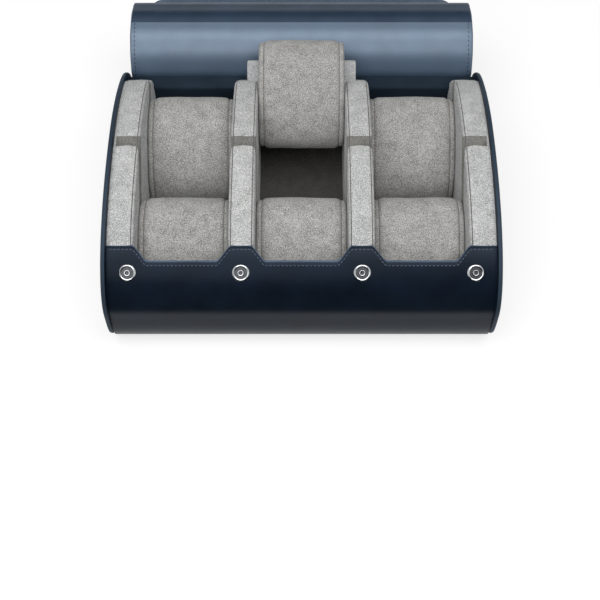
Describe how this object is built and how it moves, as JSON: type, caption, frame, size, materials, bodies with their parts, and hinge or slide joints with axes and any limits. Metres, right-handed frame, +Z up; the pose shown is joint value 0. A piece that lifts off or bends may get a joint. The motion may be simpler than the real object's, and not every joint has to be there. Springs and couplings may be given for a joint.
{
  "type": "watch travel case",
  "caption": "Leather travel case of D-shaped section for watches, with a flexible snap-down lid flap and cushions sliding in slotted padded partitions.",
  "frame": {"origin": "centre of the case's flat base, midway between the end panels and between the front and back walls", "axes": "+X across the width, the front with the snaps faces -Y, +Z up"},
  "size_m": [0.248, 0.2969, 0.0944],
  "materials": {
    "navy_leather": "smooth semi-gloss dyed leather",
    "suede_padding": "napped grey suede over padding",
    "suede_board": "napped grey suede over stiff board",
    "suede_lining": "napped grey suede",
    "grey_board": "plain pressed board",
    "nickel": "polished nickel plate"
  },
  "bodies": {
    "case": {"shell_leather": "navy_leather", "shell_board": "grey_board", "suede_lining": "suede_lining", "end_panel_left": "navy_leather", "end_panel_right": "navy_leather", "end_liner_left": "suede_padding", "end_liner_right": "suede_padding", "divider_left": "suede_padding", "divider_right": "suede_padding", "snap_studs": "nickel", "snap_washers": "nickel", "flap_root": "navy_leather"},
    "flap_01": {"flap_strip_01": "navy_leather"},
    "flap_02": {"flap_strip_02": "navy_leather"},
    "flap_03": {"flap_strip_03": "navy_leather"},
    "flap_04": {"flap_strip_04": "navy_leather"},
    "flap_05": {"flap_strip_05": "navy_leather"},
    "flap_06": {"flap_strip_06": "navy_leather"},
    "flap_07": {"flap_strip_07": "navy_leather"},
    "flap_08": {"flap_strip_08": "navy_leather"},
    "flap_09": {"flap_strip_09": "navy_leather", "snap_caps": "nickel", "snap_sockets": "nickel"},
    "front_left_seat": {"cushion_front_left": "suede_padding", "core_board_front_left": "suede_board"},
    "front_middle_seat": {"cushion_front_middle": "suede_padding", "core_board_front_middle": "suede_board"},
    "front_right_seat": {"cushion_front_right": "suede_padding", "core_board_front_right": "suede_board"},
    "back_left_seat": {"cushion_back_left": "suede_padding", "core_board_back_left": "suede_board"},
    "back_middle_seat": {"cushion_back_middle": "suede_padding", "core_board_back_middle": "suede_board"},
    "back_right_seat": {"cushion_back_right": "suede_padding", "core_board_back_right": "suede_board"}
  },
  "joints": [
    {"name": "lid_hinge", "type": "hinge", "parent": "case", "child": "flap_01", "pos_m": [0, 0.09196, 0.05311], "axis": [1, 0, 0], "range_deg": [0, 57.53]},
    {"name": "flap_bend_02", "type": "hinge", "parent": "flap_01", "child": "flap_02", "pos_m": [0, 0.09803, 0.06673], "axis": [1, 0, 0], "range_deg": [0, 45.45]},
    {"name": "flap_bend_03", "type": "hinge", "parent": "flap_02", "child": "flap_03", "pos_m": [0, 0.1095, 0.07636], "axis": [1, 0, 0], "range_deg": [0, 41.87]},
    {"name": "flap_bend_04", "type": "hinge", "parent": "flap_03", "child": "flap_04", "pos_m": [0, 0.1252, 0.07941], "axis": [1, 0, 0], "range_deg": [0, 40.24]},
    {"name": "flap_bend_05", "type": "hinge", "parent": "flap_04", "child": "flap_05", "pos_m": [0, 0.14024, 0.07394], "axis": [1, 0, 0], "range_deg": [0, 47.09]},
    {"name": "flap_bend_06", "type": "hinge", "parent": "flap_05", "child": "flap_06", "pos_m": [0, 0.14825, 0.06007], "axis": [1, 0, 0], "range_deg": [0, 47.85]},
    {"name": "flap_bend_07", "type": "hinge", "parent": "flap_06", "child": "flap_07", "pos_m": [0, 0.14492, 0.04441], "axis": [1, 0, 0], "range_deg": [0, 25.48]},
    {"name": "flap_bend_08", "type": "hinge", "parent": "flap_07", "child": "flap_08", "pos_m": [0, 0.12997, 0.01954], "axis": [1, 0, 0], "range_deg": [-50.87, 0]},
    {"name": "flap_bend_09", "type": "hinge", "parent": "flap_08", "child": "flap_09", "pos_m": [0, 0.13743, 0.00425], "axis": [1, 0, 0], "range_deg": [-52.28, 0]},
    {"name": "front_left_slide", "type": "slide", "parent": "case", "child": "front_left_seat", "axis": [0, -0.7431, -0.6691], "range_m": [-0.1, 0]},
    {"name": "front_middle_slide", "type": "slide", "parent": "case", "child": "front_middle_seat", "axis": [0, -0.7431, -0.6691], "range_m": [-0.1, 0]},
    {"name": "front_right_slide", "type": "slide", "parent": "case", "child": "front_right_seat", "axis": [0, -0.7431, -0.6691], "range_m": [-0.1, 0]},
    {"name": "back_left_slide", "type": "slide", "parent": "case", "child": "back_left_seat", "axis": [0, -0.7431, -0.6691], "range_m": [-0.039, 0]},
    {"name": "back_middle_slide", "type": "slide", "parent": "case", "child": "back_middle_seat", "axis": [0, -0.7431, -0.6691], "range_m": [0, 0.039]},
    {"name": "back_right_slide", "type": "slide", "parent": "case", "child": "back_right_seat", "axis": [0, -0.7431, -0.6691], "range_m": [-0.039, 0]}
  ],
  "couplings": [
    {"joint": "lid_hinge", "follows": "back_middle_slide", "rad_per_m": 25.524},
    {"joint": "flap_bend_02", "follows": "back_middle_slide", "rad_per_m": 20.114},
    {"joint": "flap_bend_03", "follows": "back_middle_slide", "rad_per_m": 18.514},
    {"joint": "flap_bend_04", "follows": "back_middle_slide", "rad_per_m": 17.785},
    {"joint": "flap_bend_05", "follows": "back_middle_slide", "rad_per_m": 20.848},
    {"joint": "flap_bend_06", "follows": "back_middle_slide", "rad_per_m": 21.19},
    {"joint": "flap_bend_07", "follows": "back_middle_slide", "rad_per_m": 11.178},
    {"joint": "flap_bend_08", "follows": "back_middle_slide", "rad_per_m": -22.541},
    {"joint": "flap_bend_09", "follows": "back_middle_slide", "rad_per_m": -23.171}
  ]
}
